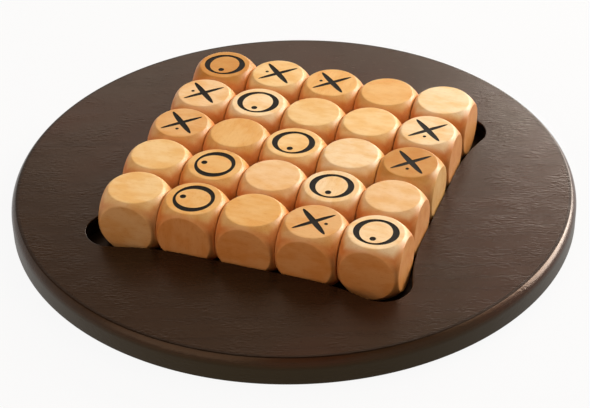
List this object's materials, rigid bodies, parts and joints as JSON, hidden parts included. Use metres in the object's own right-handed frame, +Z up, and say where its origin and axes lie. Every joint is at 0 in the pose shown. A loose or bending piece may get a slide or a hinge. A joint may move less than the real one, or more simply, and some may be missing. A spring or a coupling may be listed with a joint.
{
  "type": "sliding cube board game",
  "caption": "Round wooden board whose lobed square recess holds a grid of loose rounded cubes, drawn out at the edge and pushed back in to slide a row.",
  "frame": {"origin": "centre of the board's underside, on the surface that the board stands on", "axes": "+Z up, +X along a row of cubes from the player's left to right, +Y along a column from the front row to the back row"},
  "size_m": [0.285, 0.285, 0.0355],
  "materials": {
    "board_wood": "dark brown stained hardwood under satin lacquer",
    "cube_wood": "natural beech, sanded smooth and lightly waxed, with burnt game marks"
  },
  "bodies": {
    "board": {"board": "board_wood"},
    "cube_a1": {"cube_a1": "cube_wood"},
    "cube_b1": {"cube_b1": "cube_wood"},
    "cube_c1": {"cube_c1": "cube_wood"},
    "cube_d1": {"cube_d1": "cube_wood"},
    "cube_e1": {"cube_e1": "cube_wood"},
    "cube_a2": {"cube_a2": "cube_wood"},
    "cube_b2": {"cube_b2": "cube_wood"},
    "cube_c2": {"cube_c2": "cube_wood"},
    "cube_d2": {"cube_d2": "cube_wood"},
    "cube_e2": {"cube_e2": "cube_wood"},
    "cube_a3": {"cube_a3": "cube_wood"},
    "cube_b3": {"cube_b3": "cube_wood"},
    "cube_c3": {"cube_c3": "cube_wood"},
    "cube_d3": {"cube_d3": "cube_wood"},
    "cube_e3": {"cube_e3": "cube_wood"},
    "cube_a4": {"cube_a4": "cube_wood"},
    "cube_b4": {"cube_b4": "cube_wood"},
    "cube_c4": {"cube_c4": "cube_wood"},
    "cube_d4": {"cube_d4": "cube_wood"},
    "cube_e4": {"cube_e4": "cube_wood"},
    "cube_a5": {"cube_a5": "cube_wood"},
    "cube_b5": {"cube_b5": "cube_wood"},
    "cube_c5": {"cube_c5": "cube_wood"},
    "cube_d5": {"cube_d5": "cube_wood"},
    "cube_e5": {"cube_e5": "cube_wood"}
  },
  "joints": [
    {"name": "cube_a1_lift", "type": "slide", "parent": "board", "child": "cube_a1", "axis": [0, 0, 1], "range_m": [0, 0.04]},
    {"name": "cube_b1_lift", "type": "slide", "parent": "board", "child": "cube_b1", "axis": [0, 0, 1], "range_m": [0, 0.04]},
    {"name": "cube_c1_lift", "type": "slide", "parent": "board", "child": "cube_c1", "axis": [0, 0, 1], "range_m": [0, 0.04]},
    {"name": "cube_d1_lift", "type": "slide", "parent": "board", "child": "cube_d1", "axis": [0, 0, 1], "range_m": [0, 0.04]},
    {"name": "cube_e1_lift", "type": "slide", "parent": "board", "child": "cube_e1", "axis": [0, 0, 1], "range_m": [0, 0.04]},
    {"name": "cube_a2_lift", "type": "slide", "parent": "board", "child": "cube_a2", "axis": [0, 0, 1], "range_m": [0, 0.04]},
    {"name": "cube_b2_lift", "type": "slide", "parent": "board", "child": "cube_b2", "axis": [0, 0, 1], "range_m": [0, 0.04]},
    {"name": "cube_c2_lift", "type": "slide", "parent": "board", "child": "cube_c2", "axis": [0, 0, 1], "range_m": [0, 0.04]},
    {"name": "cube_d2_lift", "type": "slide", "parent": "board", "child": "cube_d2", "axis": [0, 0, 1], "range_m": [0, 0.04]},
    {"name": "cube_e2_lift", "type": "slide", "parent": "board", "child": "cube_e2", "axis": [0, 0, 1], "range_m": [0, 0.04]},
    {"name": "cube_a3_lift", "type": "slide", "parent": "board", "child": "cube_a3", "axis": [0, 0, 1], "range_m": [0, 0.04]},
    {"name": "cube_b3_lift", "type": "slide", "parent": "board", "child": "cube_b3", "axis": [0, 0, 1], "range_m": [0, 0.04]},
    {"name": "cube_c3_lift", "type": "slide", "parent": "board", "child": "cube_c3", "axis": [0, 0, 1], "range_m": [0, 0.04]},
    {"name": "cube_d3_lift", "type": "slide", "parent": "board", "child": "cube_d3", "axis": [0, 0, 1], "range_m": [0, 0.04]},
    {"name": "cube_e3_lift", "type": "slide", "parent": "board", "child": "cube_e3", "axis": [0, 0, 1], "range_m": [0, 0.04]},
    {"name": "cube_a4_lift", "type": "slide", "parent": "board", "child": "cube_a4", "axis": [0, 0, 1], "range_m": [0, 0.04]},
    {"name": "cube_b4_lift", "type": "slide", "parent": "board", "child": "cube_b4", "axis": [0, 0, 1], "range_m": [0, 0.04]},
    {"name": "cube_c4_lift", "type": "slide", "parent": "board", "child": "cube_c4", "axis": [0, 0, 1], "range_m": [0, 0.04]},
    {"name": "cube_d4_lift", "type": "slide", "parent": "board", "child": "cube_d4", "axis": [0, 0, 1], "range_m": [0, 0.04]},
    {"name": "cube_e4_lift", "type": "slide", "parent": "board", "child": "cube_e4", "axis": [0, 0, 1], "range_m": [0, 0.04]},
    {"name": "cube_a5_lift", "type": "slide", "parent": "board", "child": "cube_a5", "axis": [0, 0, 1], "range_m": [0, 0.04]},
    {"name": "cube_b5_lift", "type": "slide", "parent": "board", "child": "cube_b5", "axis": [0, 0, 1], "range_m": [0, 0.04]},
    {"name": "cube_c5_lift", "type": "slide", "parent": "board", "child": "cube_c5", "axis": [0, 0, 1], "range_m": [0, 0.04]},
    {"name": "cube_d5_lift", "type": "slide", "parent": "board", "child": "cube_d5", "axis": [0, 0, 1], "range_m": [0, 0.04]},
    {"name": "cube_e5_lift", "type": "slide", "parent": "board", "child": "cube_e5", "axis": [0, 0, 1], "range_m": [0, 0.04]}
  ]
}
